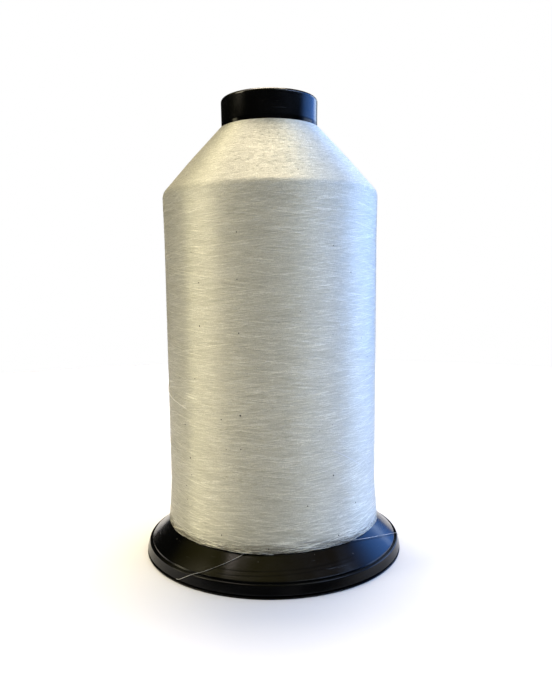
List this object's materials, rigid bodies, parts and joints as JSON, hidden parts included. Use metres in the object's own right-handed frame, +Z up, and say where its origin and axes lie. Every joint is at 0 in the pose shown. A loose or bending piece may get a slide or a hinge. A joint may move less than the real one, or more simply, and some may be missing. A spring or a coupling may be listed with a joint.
{
  "type": "thread spool",
  "caption": "Fine cross-wound thread package on a plastic king tube with a nose collar, a conical base and a thread-lock ring underneath.",
  "frame": {"origin": "on the spool's axis, at the centre of the face that it stands on", "axes": "+Z up along the tube's axis towards the nose collar; -Y is the front, where the tail crosses the base on the left"},
  "size_m": [0.1103, 0.11, 0.19],
  "materials": {
    "tube_plastic": "gloss",
    "base_plastic": "gloss",
    "ring_plastic": "gloss",
    "thread": "satin",
    "tail": "satin"
  },
  "bodies": {
    "spool": {"core_tube": "tube_plastic", "base_flange": "base_plastic", "thread_package": "thread", "thread_tail": "tail"},
    "lock_ring": {"base_lock_ring": "ring_plastic"}
  },
  "joints": [
    {"name": "lock_ring_slide", "type": "slide", "parent": "spool", "child": "lock_ring", "axis": [0, 0, -1], "range_m": [0, 0.003]}
  ]
}
